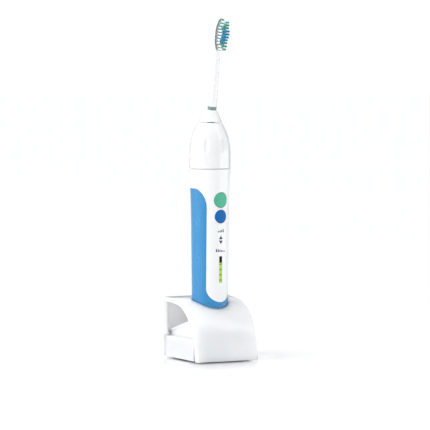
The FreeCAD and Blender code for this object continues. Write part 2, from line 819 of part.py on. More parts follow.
def build_handle_inside():
    """Cell, board and switches in a cradle, with the drive magnet's core and winding in the neck."""
    cell_frame = HANDLE * moved(0, d.cell_offset, d.cell_bottom)
    cell = turned_body("battery_cell", cell_frame, [
        (0, 0), (d.cell_radius, 0), (d.cell_radius, d.cell_length - 1.2),
        (d.cell_radius - 1.2, d.cell_length, 1.2), (2.6, d.cell_length), (2.6, d.cell_length + 1.2),
        (0, d.cell_length + 1.2),
    ])
    keep(cell, "battery_cell")
    tabs = [
        block("lower_tab", HANDLE, (-2.5, -4.9, d.cell_bottom - 0.4), (2.5, 5.5, d.cell_bottom)),
        block("upper_tab", HANDLE, (-2.5, -4.9, d.cell_bottom + d.cell_length + 1.2),
              (2.5, 5.5, d.cell_bottom + d.cell_length + 1.6)),
    ]
    keep(together("battery_tabs", tabs, "Part::Compound"), "battery_tabs")
    half = d.board_half_width
    back = d.board_thick - d.board_front
    keep(block("main_board", HANDLE, (-half, -d.board_front, 27.0), (half, back, 118.6)), "main_board")
    switches = [
        together(f"switch_{name}", [
            block(f"{name}_box", HANDLE, (-3, -8.6, height - 3), (3, -d.board_front, height + 3)),
            rod(f"{name}_plunger", HANDLE, 1.6, 1.0, (0, -8.1, height), along="front"),
        ])
        for name, height, _ in button_list()
    ]
    keep(together("tact_switches", switches, "Part::Compound"), "tact_switches")
    steps = 5
    pitch = (d.gauge_top - d.gauge_bottom) / steps
    lights = [
        block(f"light_{index}", HANDLE, (-0.8, -7.4, d.gauge_bottom + pitch * (index + 0.5) - 0.7),
              (0.8, -d.board_front, d.gauge_bottom + pitch * (index + 0.5) + 0.7))
        for index in range(steps)
    ]
    keep(together("gauge_leds", lights, "Part::Compound"), "gauge_leds")
    build_cradle()
    build_drive()


def build_cradle():
    """Cradle: a half tube behind the cell, with a floor, a bridge over the cell and a top shelf."""
    outer = d.cradle_radius
    inner = d.cradle_radius - d.cradle_wall
    shelves = [rod(f"shelf_{index}", HANDLE, outer, thick, (0, 0, low))
               for index, (low, thick) in enumerate([(25.4, 1.4), (80.6, 1.6), (117.0, 1.6)])]
    wall = cut("cradle_wall", rod("cradle_outer", HANDLE, outer, 93.2, (0, 0, 25.4)),
               rod("cradle_inner", HANDLE, inner, 95.0, (0, 0, 25.0)))
    whole = together("cradle_whole", [wall, *shelves])
    front = block("cradle_front", HANDLE, (-12, -12, 24), (12, d.board_thick - d.board_front + 0.1, 130))
    side = block("cradle_open", HANDLE, (-12, -12, 27.5), (12, -1, 80))
    keep(cut("cradle", whole, front, side), "cradle")


def build_drive():
    """Drive magnet: an E-shaped steel core with its winding round the middle leg, on a bracket."""
    base = 122.0
    top = d.neck_top - d.neck_roof - 0.5
    core = slab("drive_core", HANDLE, "XZ_Plane", [
        (-8, base), (8, base), (8, top), (5.6, top), (5.6, base + 4), (2, base + 4), (2, top),
        (-2, top), (-2, base + 4), (-5.6, base + 4), (-5.6, top), (-8, top),
    ], 8, symmetric=True)
    keep(core, "drive_core")
    low = base + 4
    former = cut("coil_former", together("former_whole", [
        block("former_foot", HANDLE, (-5.5, -7.6, low), (5.5, 7.6, low + 0.8)),
        block("former_tube", HANDLE, (-2.8, -4.8, low), (2.8, 4.8, top - 1)),
        block("former_head", HANDLE, (-5.5, -7.6, top - 1.8), (5.5, 7.6, top - 1)),
    ]), block("former_hole", HANDLE, (-2, -4, low - 1), (2, 4, top)))
    keep(former, "coil_former")
    winding = cut("drive_winding", block("winding_block", HANDLE, (-5.3, -7.3, low + 0.8),
                                         (5.3, 7.3, top - 1.8)),
                  block("winding_hole", HANDLE, (-2.8, -4.8, low), (2.8, 4.8, top)))
    keep(winding, "drive_winding")
    plate = rod("bracket_plate", HANDLE, 10.1, base - 118.7, (0, 0, 118.7))
    relief = rod("bracket_relief", HANDLE, 7.2, 2.0, (0, 0, 118.6))
    front = block("bracket_front", HANDLE, (-12, -12, 118), (12, -7.3, base + 1))
    keep(cut("drive_bracket", plate, relief, front), "drive_bracket")


# ---------------------------------------------------------------------------------------------
# Brush head
# ---------------------------------------------------------------------------------------------
def build_head_nut():
    """Dome nut: threaded below, rounded above, with shallow finger dimples round its shoulder."""
    outside = d.handle_top_radius
    root = d.neck_radius + 0.3
    nut = turned_body("nut_blank", HANDLE, [
        (root + 1.2, d.nut_bottom), (outside - 0.3, d.nut_bottom), (outside, d.nut_bottom + 0.3),
        (outside, d.nut_straight_top), (d.nut_bend_radius, d.nut_bend_height, "smooth"),
        (d.nut_lip_radius, d.nut_top, "smooth"), (d.nut_lip_radius - 1.2, d.nut_top),
        (d.nut_lip_radius - 1.2, d.nut_top - 1.2), (d.nut_bend_radius - 2.2, d.nut_bend_height - 0.6),
        (12.9, 151.6), (12.9, 147.8), (root, 147.8), (root, d.nut_bottom + 2.4),
        (root + 1.2, d.nut_bottom + 2.4),
    ])
    step = 360 / d.dimple_count.number
    dimples = []
    for index in range(int(d.dimple_count.number)):
        dimple = doc.addObject("Part::Ellipsoid", f"dimple_{index}")
        bind(dimple, Radius1=8.2, Radius2=1.6, Radius3=2.7)
        lean = turned((0, 1, 0), -6, (15.3, 0, 154.4))
        dimple.Placement = HANDLE * turned((0, 0, 1), index * step - 90) * lean
        dimples.append(dimple)
    cut_thread(nut, "SubtractiveHelix", d.thread_gap, 1)
    keep(cut("head_nut", nut, together("dimples", dimples)), "head_nut")


def build_head_frame():
    """Carrier that the nut clamps to the neck: a ring with two ears that hold the pivot pin."""
    low = d.neck_top + 0.1
    ring = turned_body("frame_ring", HANDLE, [
        (8.8, low), (11.7, low), (11.7, low + 1.05), (12.6, low + 1.05), (12.6, low + 2.3),
        (8.8, low + 2.3),
    ])
    ears = []
    for side in (-1, 1):
        ears.append(slab(f"ear_{side}", HANDLE, "YZ_Plane", [
            (side * 9.0, low), (side * 11.4, low), (side * 11.4, low + 4), (side * 9.0, 162.0),
            (side * 7.4, 166.7), (side * 5.5, 166.7), (side * 5.5, 155.6),
        ], 4.4, symmetric=True))
    hole = rod("pin_seat", STEM, 1.0, 24, (0, 12, 0), along="front")
    keep(cut("head_frame", together("frame_whole", [ring, *ears]), hole), "head_frame")
    pin = rod("pivot_pin", STEM, 1.0, 15.0, (0, 7.5, 0), along="front")
    keep(pin, "pivot_pin")
    boot = tube("boot_ring", HANDLE, 7.0, 3.0, 166.7, 169.3)
    room = rod("boot_room", STEM, d.stem_low_radius + 0.65, 12, (0, 0, 0))
    keep(cut("head_boot", boot, room), "head_boot")


def build_lever():
    """Lever below the pivot, with the pair of magnets that the drive core pulls from side to side."""
    hub = rod("lever_hub", STEM, 2.7, 10.0, (0, 5.0, 0), along="front")
    arm = block("lever_arm", STEM, (-2.2, -2.4, -11.6), (2.2, 2.4, 1.0))
    shoe = block("lever_shoe", STEM, (-5.2, -2.6, -12.2), (5.2, 2.6, -11.0))
    bearing = rod("lever_bearing", STEM, 1.06, 12.0, (0, 6.0, 0), along="front")
    socket = rod("lever_socket", STEM, 2.0, 8, (0, 0, 1.6))
    lever = cut("drive_lever", together("lever_whole", [hub, arm, shoe]), bearing, socket)
    keep(lever, "drive_lever")
    keep(block("magnet_yoke", STEM, (-5.2, -2.6, -12.9), (5.2, 2.6, -12.2)), "magnet_yoke")
    magnets = [
        block(f"magnet_{index}", STEM, (x, -2.4, -15.2), (x + 3.8, 2.4, -12.9))
        for index, x in enumerate((-4.8, 1.0))
    ]
    keep(together("drive_magnets", magnets, "Part::Compound"), "drive_magnets")


def build_stem():
    """Brush stem with its oval head, the smooth collar round its foot and the coloured ring above it."""
    collar_end = d.collar_end
    ring_end = d.collar_end + d.ring_height
    shaft = turned_body("stem_shaft", STEM, [
        (0, 1.6), (2.0, 1.6), (2.0, 3.2), (d.stem_low_radius - 0.5, 3.2),
        (d.stem_low_radius - 0.5, ring_end), (d.stem_low_radius, ring_end),
        (d.stem_high_radius, d.head_start + 1.6), (0, d.head_start + 1.6),
    ])
    head = slab("stem_head", STEM, "XZ_Plane", oval(0), d.head_front + d.head_back, offset=-d.head_back)
    doc.recompute()
    solid = head.Tip
    rounding = head.newObject("PartDesign::Fillet", "head_rounding")
    rounding.Base = (solid, back_edges(solid))
    bind(rounding, Radius=1.4)
    stem = together("brush_stem", [shaft, head])
    keep(stem, "brush_stem")
    inner = d.stem_low_radius - 0.5
    keep(tube("colour_ring", STEM, d.stem_low_radius + 0.05, inner, collar_end, ring_end), "colour_ring")

    foot = doc.addObject("Part::Circle", "collar_foot")
    bind(foot, Radius=d.nut_lip_radius)
    foot.Placement = HANDLE * moved(0, -0.15, d.nut_top + d.lip_gap)
    tip = doc.addObject("Part::Circle", "collar_tip")
    bind(tip, Radius=d.collar_end_radius)
    tip.Placement = STEM * moved(0, 0, collar_end)
    cone = doc.addObject("Part::Loft", "collar_cone")
    cone.Sections = [foot, tip]
    cone.Solid = True
    bore = rod("collar_bore", STEM, inner, 14, (0, 0, 4))
    keep(cut("stem_collar", cone, bore), "stem_collar")


def oval(inset):
    """The egg-shaped outline of the brush head, drawn in from its edge by an inset."""
    half = d.head_half_width - inset
    low = d.oval_low + inset
    low_half = d.oval_low_half - inset * 0.5
    high = d.oval_high - inset
    high_half = d.oval_high_half - inset * 0.5
    return [
        (-half, d.oval_wide_high, "smooth"), (-half, d.oval_wide_low), (-low_half, low, "smooth"),
        (low_half, low, "smooth"), (half, d.oval_wide_low, "smooth"), (half, d.oval_wide_high),
        (high_half, high, "smooth"), (-high_half, high, "smooth"),
    ]


def build_face_rim():
    """Coloured rim round the edge of the head's face, open where the stem meets it."""
    outer = slab("rim_outer", STEM, "XZ_Plane", oval(d.rim_inset), d.rim_proud, offset=d.head_front)
    inner = slab("rim_inner", STEM, "XZ_Plane", oval(d.rim_inset + d.rim_width), d.rim_proud + 1,
                 offset=d.head_front - 0.5)
    half = d.head_half_width
    foot = block("rim_foot", STEM, (-half, -half, d.head_start - 1), (half, half, d.head_start + 1.7))
    keep(cut("face_rim", outer, inner, foot), "face_rim")


def back_edges(solid):
    """The edges round the back face of the brush head, in its body's own frame."""
    names = []
    for index, edge in enumerate(solid.Shape.Edges, start=1):
        box = edge.BoundBox
        if abs(box.YMin - d.head_back.number) < 0.01 and abs(box.YMax - d.head_back.number) < 0.01:
            names.append(f"Edge{index}")
    return names


def build_bristles():
    """Bristle tufts in ten rows, in the three groups that differ in colour."""
    groups = {"bristles_heel": (0, 3), "bristles_centre": (3, 7), "bristles_toe": (7, 10)}
    for name, (first, last) in groups.items():
        tufts = [
            rod(f"tuft_{row}_{index}", STEM, d.tuft_radius, getattr(d, f"reach_row_{row}") - d.head_front,
                (x, -d.head_front, d.first_row + d.row_pitch * row), along="front")
            for row in range(first, last)
            for index, x in enumerate(row_places(row))
        ]
        keep(together(name, tufts, "Part::Compound"), name)


def row_places(row):
    """Where the tufts of a row stand across the head; the rows are shorter towards both ends."""
    count = {0: 2, 1: 3, 8: 3, 9: 2}.get(row, 4)
    return [d.tuft_pitch * (index - (count - 1) / 2) for index in range(count)]


# ---------------------------------------------------------------------------------------------
# Assembly
# ---------------------------------------------------------------------------------------------
def check_document():
    """Stop if any object has failed, or if any sub-part's shape is empty or faulty."""
    for thing in doc.Objects:
        if {"Invalid", "Error"} & set(thing.State):
            raise RuntimeError(f"{thing.Name} is {thing.State}")
    for part in SUBPARTS:
        if part.Shape.isNull() or not part.Shape.isValid() or not part.Shape.Solids:
            raise RuntimeError(f"{part.Label} has no sound shape")


def main():
    """Build every sub-part, check it and write it."""
    build_stand_shell()
    build_charger_housing()
    build_base_plate()
    build_charger_inside()
    build_cord_gland()
    build_handle_skin()
    build_neck_collar()
    build_buttons()
    build_gauge()
    build_end_cap()
    build_handle_inside()
    build_head_nut()
    build_head_frame()
    build_lever()
    build_stem()
    build_face_rim()
    build_bristles()
    doc.recompute()
    check_document()
    os.makedirs("parts", exist_ok=True)
    for part in SUBPARTS:
        part.Shape.exportStep(f"parts/{part.Label}.step")
        box = part.Shape.BoundBox
        print(f"{part.Label:22s} {part.Shape.Volume:10.1f} mm3  solids {len(part.Shape.Solids)}"
              f"  z {box.ZMin:.2f}..{box.ZMax:.2f}")


main()
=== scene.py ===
"""The looks of an electric toothbrush standing in its charging stand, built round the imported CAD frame."""

import json
import math
import random

import bmesh
import bpy
from mathutils import Matrix, Vector
from mathutils.bvhtree import BVHTree


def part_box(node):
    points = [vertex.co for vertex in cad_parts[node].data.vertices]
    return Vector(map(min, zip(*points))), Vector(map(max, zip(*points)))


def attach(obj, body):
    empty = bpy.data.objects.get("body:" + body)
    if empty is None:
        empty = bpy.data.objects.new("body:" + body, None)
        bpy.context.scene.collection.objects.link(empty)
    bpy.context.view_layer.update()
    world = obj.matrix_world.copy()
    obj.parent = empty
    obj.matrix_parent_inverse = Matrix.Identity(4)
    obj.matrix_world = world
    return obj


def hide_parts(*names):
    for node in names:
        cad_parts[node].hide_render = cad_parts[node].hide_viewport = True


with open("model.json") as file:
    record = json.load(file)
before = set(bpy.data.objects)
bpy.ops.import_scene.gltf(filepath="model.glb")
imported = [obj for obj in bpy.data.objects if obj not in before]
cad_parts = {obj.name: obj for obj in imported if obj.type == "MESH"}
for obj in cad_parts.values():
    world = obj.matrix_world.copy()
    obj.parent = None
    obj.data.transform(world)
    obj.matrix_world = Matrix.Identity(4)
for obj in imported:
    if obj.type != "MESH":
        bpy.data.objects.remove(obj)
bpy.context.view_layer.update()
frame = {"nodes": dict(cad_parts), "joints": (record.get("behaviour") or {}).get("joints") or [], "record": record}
MM = 0.001

# ---------------------------------------------------------------------------------------------
# Places worked out from the frame
# ---------------------------------------------------------------------------------------------
LAMP_LOW, LAMP_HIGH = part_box("gauge_leds")
LAMP_HEIGHT = (LAMP_LOW.z + LAMP_HIGH.z) / 2
LAMP_TALL = 1.4 * MM
LAMP_GAPS = 4
LAMP_PITCH = (LAMP_HIGH.z - LAMP_LOW.z - LAMP_TALL) / LAMP_GAPS
JOINTS = {joint["name"]: joint for joint in frame["joints"]}
SLOTS = {part["node"]: part["material_slot"] for part in frame["record"]["subparts"]}
STAND_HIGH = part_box("stand_shell")[1]
NUT_LOW, NUT_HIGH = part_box("head_nut")
AXIS_XY = Vector(((NUT_LOW.x + NUT_HIGH.x) / 2, (NUT_LOW.y + NUT_HIGH.y) / 2, 0))
PRESS = Vector(JOINTS["power_press"]["axis"])
SWEEP = Vector(JOINTS["brush_sweep"]["axis"])
PIVOT = Vector(JOINTS["brush_sweep"]["pos_m"])


def basis(origin, forward):
    """A frame whose -Y is forward and whose Z is as near to upright as it can be."""
    y = -forward.normalized()
    x = y.cross(Vector((0, 0, 1))).normalized()
    z = x.cross(y)
    return Matrix.Translation(origin) @ Matrix((x, y, z)).transposed().to_4x4()


HANDLE = basis(AXIS_XY, -PRESS)
STEM = basis(PIVOT, SWEEP)


# ---------------------------------------------------------------------------------------------
# Camera, floor and light
# ---------------------------------------------------------------------------------------------
VIEW_AZIMUTH = math.radians(-28.0)
VIEW_AWAY = Vector((math.sin(VIEW_AZIMUTH), -math.cos(VIEW_AZIMUTH), 0))
VIEW_ACROSS = Vector((math.cos(VIEW_AZIMUTH), math.sin(VIEW_AZIMUTH), 0))
VIEW_DISTANCE = 1.86
VIEW_HEIGHT = 0.19875
PITCH = math.radians(2.92)
PAN = math.radians(0.115)
LENS = 216.4
SENSOR = 36.0

# Strengths of the sky as gloss and the eye see it, of the sky as matt surfaces see it, and of the lamps.
SKY_SEEN = 1.12
SKY_FILL = 0.56
SUN = 1.54
LEFT_BOX = 0.46
RIGHT_BOX = 0.98
CAVITY_BOX = 0.3

# The sun's width in the sky, how far out and how high the two large boxes stand, the height they aim at,
# and the height of the small one.
SUN_SPREAD = math.radians(48)
BOX_DISTANCE = 0.75
BOX_HEIGHT = 0.30
BOX_AIM = 0.12
CAVITY_HEIGHT = 0.03

# Cards that gloss alone can see: name, distance, four (angle from the camera, height) corners, strength.
CARD_RING = 0.55
GLOSS_CARDS = [
    ("front_grey", CARD_RING, [(-39, 0.1), (57, 0.1), (57, 0.55), (-39, 0.55)], 0.22),
    ("left_white", CARD_RING, [(-104, 0), (-39, 0), (-39, 0.55), (-104, 0.55)], 2.3),
    ("right_white", CARD_RING, [(57, 0), (116, 0), (116, 0.17), (57, 0.17)], 2.3),
    ("edge_left", CARD_RING, [(-157, 0.1), (-130, 0.1), (-130, 0.4), (-157, 0.4)], 0.03),
    ("edge_right", CARD_RING, [(130, 0.1), (157, 0.1), (157, 0.4), (130, 0.4)], 0.03),
    ("low_grey", 0.8, [(34, 0.12), (80, 0.12), (72, 0.29), (40, 0.62)], 0.25),
    ("band_white", 0.9, [(38, 0.70), (84, 0.20), (80, 1.35), (38, 1.35)], 2.2),
    ("back_grey", 0.12, [(163.3, 0.03), (196.7, 0.03), (196.7, 0.07), (163.3, 0.07)], 0.2),
]
CARD_STEPS = 12
CARD_COOLNESS = 1.02

# The floor, and the polished patch by the stand's foot: how far it reaches, and where it starts and ends
# behind the stand's middle and to either side of it.
FLOOR_HALF = 60.0
FLOOR_GLOSS = (0.92, 0.925, 0.935)
FLOOR_MATT_SHARE = 0.3
FLOOR_FADE = 0.07
POLISH_FULL = -0.013
POLISH_NONE = -0.04
POLISH_SIDE_FULL = 0.037
POLISH_SIDE_NONE = 0.05


def place_camera():
    """A long lens a little above the stand, to the left of its front."""
    data = bpy.data.cameras.new("camera")
    data.lens = LENS
    data.sensor_width = SENSOR
    data.clip_start = 0.05
    data.clip_end = 200.0
    camera = bpy.data.objects.new("camera", data)
    bpy.context.scene.collection.objects.link(camera)
    camera.location = AXIS_XY + VIEW_AWAY * VIEW_DISTANCE + Vector((0, 0, VIEW_HEIGHT))
    camera.rotation_euler = (math.pi / 2 - PITCH, 0, VIEW_AZIMUTH - PAN)
    bpy.context.scene.camera = camera


def area_light(name, place, target, width, height, power):
    """A rectangular softbox aimed at a point, hidden from the camera and from gloss."""
    data = bpy.data.lights.new(name, "AREA")
    data.shape = "RECTANGLE"
    data.size = width
    data.size_y = height
    data.energy = power
    light = bpy.data.objects.new(name, data)
    light.location = place
    light.rotation_euler = (Vector(target) - Vector(place)).to_track_quat("-Z", "Y").to_euler()
    light.visible_camera = False
    light.visible_glossy = False
    bpy.context.scene.collection.objects.link(light)


def light_world():
    """White surroundings for the eye and for gloss, and a softer fill for matt surfaces."""
    world = bpy.data.worlds.new("studio")
    bpy.context.scene.world = world
    world.use_nodes = True
    tree = world.node_tree
    background = tree.nodes["Background"]
    background.inputs["Color"].default_value = (1.0, 1.0, 1.0, 1)
    path = tree.nodes.new("ShaderNodeLightPath")
    level = tree.nodes.new("ShaderNodeMapRange")
    level.inputs["To Min"].default_value = SKY_SEEN
    level.inputs["To Max"].default_value = SKY_FILL
    tree.links.new(path.outputs["Is Diffuse Ray"], level.inputs["Value"])
    tree.links.new(level.outputs["Result"], background.inputs["Strength"])


def around(angle, distance, height):
    """A place seen from the object at an angle from the camera's direction, positive to the right."""
    direction = VIEW_AZIMUTH + math.radians(angle)
    return Vector((math.sin(direction) * distance, -math.cos(direction) * distance, height)) + AXIS_XY


def light_scene():
    """A soft sun overhead and three soft boxes for matt light, the floor, and the cards for gloss."""
    light_world()
    data = bpy.data.lights.new("overhead", "SUN")
    data.energy = SUN
    data.angle = SUN_SPREAD
    sun = bpy.data.objects.new("overhead", data)
    sun.rotation_euler = (-around(-60, 0.55, 1.2)).to_track_quat("-Z", "Y").to_euler()
    bpy.context.scene.collection.objects.link(sun)
    middle = AXIS_XY + Vector((0, 0, BOX_AIM))
    low = AXIS_XY + Vector((0, 0, CAVITY_HEIGHT))
    area_light("left_box", around(-58, BOX_DISTANCE, BOX_HEIGHT), middle, 0.5, 0.5, LEFT_BOX)
    area_light("right_box", around(60, BOX_DISTANCE, BOX_HEIGHT), middle, 0.4, 0.5, RIGHT_BOX)
    area_light("cavity_box", around(-66, 0.4, CAVITY_HEIGHT), low, 0.12, 0.05, CAVITY_BOX)
    lay_floor()
    for card in GLOSS_CARDS:
        gloss_card(*card)

    view = bpy.context.scene.view_settings
    view.view_transform = "Standard"
    view.look = "None"
    view.exposure = 0.0
    view.gamma = 1.0


def lay_floor():
    """A large flat floor at the foot of the stand."""
    mesh = bpy.data.meshes.new("floor")
    side = FLOOR_HALF
    mesh.from_pydata([(-side, -side, 0), (side, -side, 0), (side, side, 0), (-side, side, 0)],
                     [], [(0, 1, 2, 3)])
    mesh.materials.append(floor_material())
    floor = bpy.data.objects.new("floor", mesh)
    bpy.context.scene.collection.objects.link(floor)


def gloss_card(name, distance, corners, level):
    """A card round the object, seen by gloss alone. A corner is (angle from the camera, height)."""
    material = bpy.data.materials.new(name)
    material.use_nodes = True
    tree = material.node_tree
    tree.nodes.remove(tree.nodes["Principled BSDF"])
    glow = tree.nodes.new("ShaderNodeEmission")
    glow.inputs["Color"].default_value = (level, level, level * CARD_COOLNESS, 1)
    tree.links.new(glow.outputs["Emission"], tree.nodes["Material Output"].inputs["Surface"])
    steps = CARD_STEPS
    (a0, z0), (a1, z1), (a2, z2), (a3, z3) = corners
    points = []
    for step in range(steps + 1):
        part = step / steps
        points.append(around(a0 + (a1 - a0) * part, distance, z0 + (z1 - z0) * part))
        points.append(around(a3 + (a2 - a3) * part, distance, z3 + (z2 - z3) * part))
    faces = [(2 * step, 2 * step + 2, 2 * step + 3, 2 * step + 1) for step in range(steps)]
    mesh = bpy.data.meshes.new(name)
    mesh.from_pydata(points, [], faces)
    mesh.materials.append(material)
    card = bpy.data.objects.new(name, mesh)
    card.visible_camera = False
    card.visible_shadow = False
    card.visible_diffuse = False
    card.visible_transmission = False
    bpy.context.scene.collection.objects.link(card)


# ---------------------------------------------------------------------------------------------
# Materials
# ---------------------------------------------------------------------------------------------
# Limits between which a noise pattern is spread, relief of the rubber, and scale of the banded wave that
# stands for turns of wire.
NOISE_LOW = 0.3
NOISE_HIGH = 0.7
RUBBER_GRAIN = 5200.0
RUBBER_RELIEF = 0.00002
WIRE_SCALE = 0.31831 / 0.00042 / 2


class Surface:
    """A node material under construction: one Principled shader, fed by object-space patterns."""

    def __init__(self, name, **sockets):
        self.material = bpy.data.materials.new(name)
        self.material.use_nodes = True
        self.tree = self.material.node_tree
        self.shader = self.tree.nodes["Principled BSDF"]
        for socket, value in sockets.items():
            self.shader.inputs[socket.replace("_", " ")].default_value = value
        self.place = self.node("ShaderNodeTexCoord").outputs["Object"]

    def node(self, kind, **settings):
        made = self.tree.nodes.new(kind)
        for name, value in settings.items():
            setattr(made, name, value)
        return made

    def link(self, source, target):
        self.tree.links.new(source, target)

    def mapped(self, scale):
        """Object coordinates, stretched."""
        mapping = self.node("ShaderNodeMapping")
        mapping.inputs["Scale"].default_value = scale
        self.link(self.place, mapping.inputs["Vector"])
        return mapping.outputs["Vector"]

    def noise(self, scale, detail=3.0, roughness=0.5, vector=None):
        """A noise pattern's value; scale is in waves a metre."""
        noise = self.node("ShaderNodeTexNoise")
        noise.inputs["Scale"].default_value = scale
        noise.inputs["Detail"].default_value = detail
        noise.inputs["Roughness"].default_value = roughness
        self.link(vector or self.place, noise.inputs["Vector"])
        return noise.outputs["Fac"]

    def ramp(self, value, stops):
        """Colours along a value."""
        ramp = self.node("ShaderNodeValToRGB")
        elements = ramp.color_ramp.elements
        while len(elements) < len(stops):
            elements.new(0.5)
        for element, (position, color) in zip(elements, stops):
            element.position = position
            element.color = (*color, 1)
        self.link(value, ramp.inputs["Fac"])
        return ramp.outputs["Color"]

    def span(self, value, low, high):
        """A pattern's value spread from low to high."""
        spread = self.node("ShaderNodeMapRange")
        spread.inputs["From Min"].default_value = NOISE_LOW
        spread.inputs["From Max"].default_value = NOISE_HIGH
        spread.inputs["To Min"].default_value = low
        spread.inputs["To Max"].default_value = high
        self.link(value, spread.inputs["Value"])
        return spread.outputs["Result"]

    def vector(self, operation, source, other=None):
        """One step of vector arithmetic, with a fixed second value if there is one."""
        made = self.node("ShaderNodeVectorMath", operation=operation)
        self.link(source, made.inputs[0])
        if other is not None:
            made.inputs[1].default_value = other
        return made

    def step(self, value, start, end, low=0.0):
        """A smooth rise from low to 1 as a value goes from start to end."""
        rise = self.node("ShaderNodeMapRange", interpolation_type="SMOOTHSTEP")
        rise.inputs["From Min"].default_value = start
        rise.inputs["From Max"].default_value = end
        rise.inputs["To Min"].default_value = low
        self.link(value, rise.inputs["Value"])
        return rise.outputs["Result"]

    def color(self, source):
        self.link(source, self.shader.inputs["Base Color"])

    def roughness(self, source):
        self.link(source, self.shader.inputs["Roughness"])

    def bump(self, height, distance, normal=None):
        """Full-strength relief; distance is its depth in metres."""
        bump = self.node("ShaderNodeBump")
        bump.inputs["Distance"].default_value = distance
        bump.inputs["Strength"].default_value = 1.0
        self.link(height, bump.inputs["Height"])
        if normal is not None:
            self.link(normal, bump.inputs["Normal"])
        self.link(bump.outputs["Normal"], self.shader.inputs["Normal"])


def tinted(color, factor):
    """A colour made lighter or darker."""
    return tuple(min(1.0, channel * factor) for channel in color)


def floor_material():
    """White table top: polished in front of and beside the stand's foot, and matt elsewhere."""
    surface = Surface("white_table", Roughness=0.5, Specular_IOR_Level=0.0)
    cloud = surface.noise(1.2, 2)
    surface.color(surface.ramp(cloud, [(0.2, (0.985, 0.987, 0.99)), (0.8, (0.995, 0.996, 0.998))]))
    polish = surface.node("ShaderNodeBsdfAnisotropic")
    tint = surface.ramp(cloud, [(0.2, FLOOR_GLOSS), (0.8, tinted(FLOOR_GLOSS, 1.01))])
    surface.link(tint, polish.inputs["Color"])
    surface.link(surface.span(surface.noise(3.0, 2), 0.13, 0.17), polish.inputs["Roughness"])
    footprint = (STAND_HIGH.x, STAND_HIGH.y, 0)
    half = surface.vector("ABSOLUTE", surface.place).outputs["Vector"]
    beyond = surface.vector("SUBTRACT", half, footprint).outputs["Vector"]
    outside = surface.vector("MAXIMUM", beyond, (0, 0, 0)).outputs["Vector"]
    reach = surface.vector("LENGTH", outside).outputs["Value"]
    forward = surface.vector("DOT_PRODUCT", surface.place, VIEW_AWAY).outputs["Value"]
    across = surface.vector("DOT_PRODUCT", surface.place, VIEW_ACROSS).outputs["Value"]
    sideways = surface.node("ShaderNodeMath", operation="ABSOLUTE")
    surface.link(across, sideways.inputs[0])
    matt = surface.step(reach, 0.0, FLOOR_FADE, FLOOR_MATT_SHARE)
    limits = [
        surface.step(forward, POLISH_FULL, POLISH_NONE),
        surface.step(sideways.outputs["Value"], POLISH_SIDE_FULL, POLISH_SIDE_NONE),
    ]
    for limit in limits:
        larger = surface.node("ShaderNodeMath", operation="MAXIMUM")
        surface.link(matt, larger.inputs[0])
        surface.link(limit, larger.inputs[1])
        matt = larger.outputs["Value"]
    blend = surface.node("ShaderNodeMixShader")
    surface.link(matt, blend.inputs["Fac"])
    surface.link(polish.outputs["BSDF"], blend.inputs[1])
    surface.link(surface.shader.outputs["BSDF"], blend.inputs[2])
    surface.link(blend.outputs["Shader"], surface.tree.nodes["Material Output"].inputs["Surface"])
    return surface.material


def moulded(name, color, rough=(0.16, 0.24), grain=900.0, depth=0.000012, coat=0.0, subsurface=0.0,
            spread=0.02, edge=0.0003, specular=0.5):
    """Injection-moulded plastic: faint cloudiness, uneven polish and a fine orange-peel relief."""
    surface = Surface(name, IOR=1.5, Coat_Weight=coat, Coat_Roughness=0.06,
                      Subsurface_Weight=subsurface, Subsurface_Scale=0.012, Specular_IOR_Level=specular)
    surface.shader.inputs["Subsurface Radius"].default_value = (1.0, 0.9, 0.8)
    cloud = surface.noise(45.0, 3)
    tints = [(0.25, tinted(color, 1 - spread)), (0.75, tinted(color, 1 + spread))]
    surface.color(surface.ramp(cloud, tints))
    surface.roughness(surface.span(surface.noise(160.0, 4), *rough))
    soft = surface.node("ShaderNodeBevel", samples=4)
    soft.inputs["Radius"].default_value = edge
    surface.bump(surface.noise(grain, 2), depth, normal=soft.outputs["Normal"])
    return surface.material


def lit_lens(name, color, spot):
    """Clear tinted strip over a row of lamps, darker over each of them."""
    surface = Surface(name, IOR=1.5, Specular_IOR_Level=0.2)
    parts = surface.node("ShaderNodeSeparateXYZ")
    surface.link(surface.place, parts.inputs["Vector"])
    phase = surface.node("ShaderNodeMath", operation="MULTIPLY_ADD")
    surface.link(parts.outputs["Z"], phase.inputs[0])
    phase.inputs[1].default_value = 2 * math.pi / LAMP_PITCH
    phase.inputs[2].default_value = math.pi / 2 - 2 * math.pi * LAMP_HEIGHT / LAMP_PITCH
    wave = surface.node("ShaderNodeMath", operation="SINE")
    surface.link(phase.outputs["Value"], wave.inputs[0])
    surface.color(surface.ramp(wave.outputs["Value"], [(0.25, color), (0.9, spot)]))
    surface.roughness(surface.span(surface.noise(300.0), 0.25, 0.35))
    surface.bump(surface.noise(1200.0, 2), 0.00001)
    return surface.material


def rubbery(name, color, rough=(0.42, 0.55)):
    """Soft-touch elastomer: matt, with a fine even grain and slightly polished patches."""
    surface = Surface(name, IOR=1.47)
    cloud = surface.noise(30.0, 4)
    surface.color(surface.ramp(cloud, [(0.2, tinted(color, 0.97)), (0.8, tinted(color, 1.04))]))
    surface.roughness(surface.span(surface.noise(70.0, 4), *rough))
    surface.bump(surface.noise(RUBBER_GRAIN, 3, 0.7), RUBBER_RELIEF)
    return surface.material


def metallic(name, color, rough=(0.2, 0.36), stretch=(40, 40, 2600)):
    """Drawn or ground metal with fine scratches along one direction."""
    surface = Surface(name, Metallic=1.0)
    scratches = surface.noise(1.0, 5, 0.7, surface.mapped(stretch))
    surface.color(surface.ramp(scratches, [(0.3, tinted(color, 0.86)), (0.7, tinted(color, 1.08))]))
    surface.roughness(surface.span(scratches, *rough))
    surface.bump(scratches, 0.000008)
    return surface.material


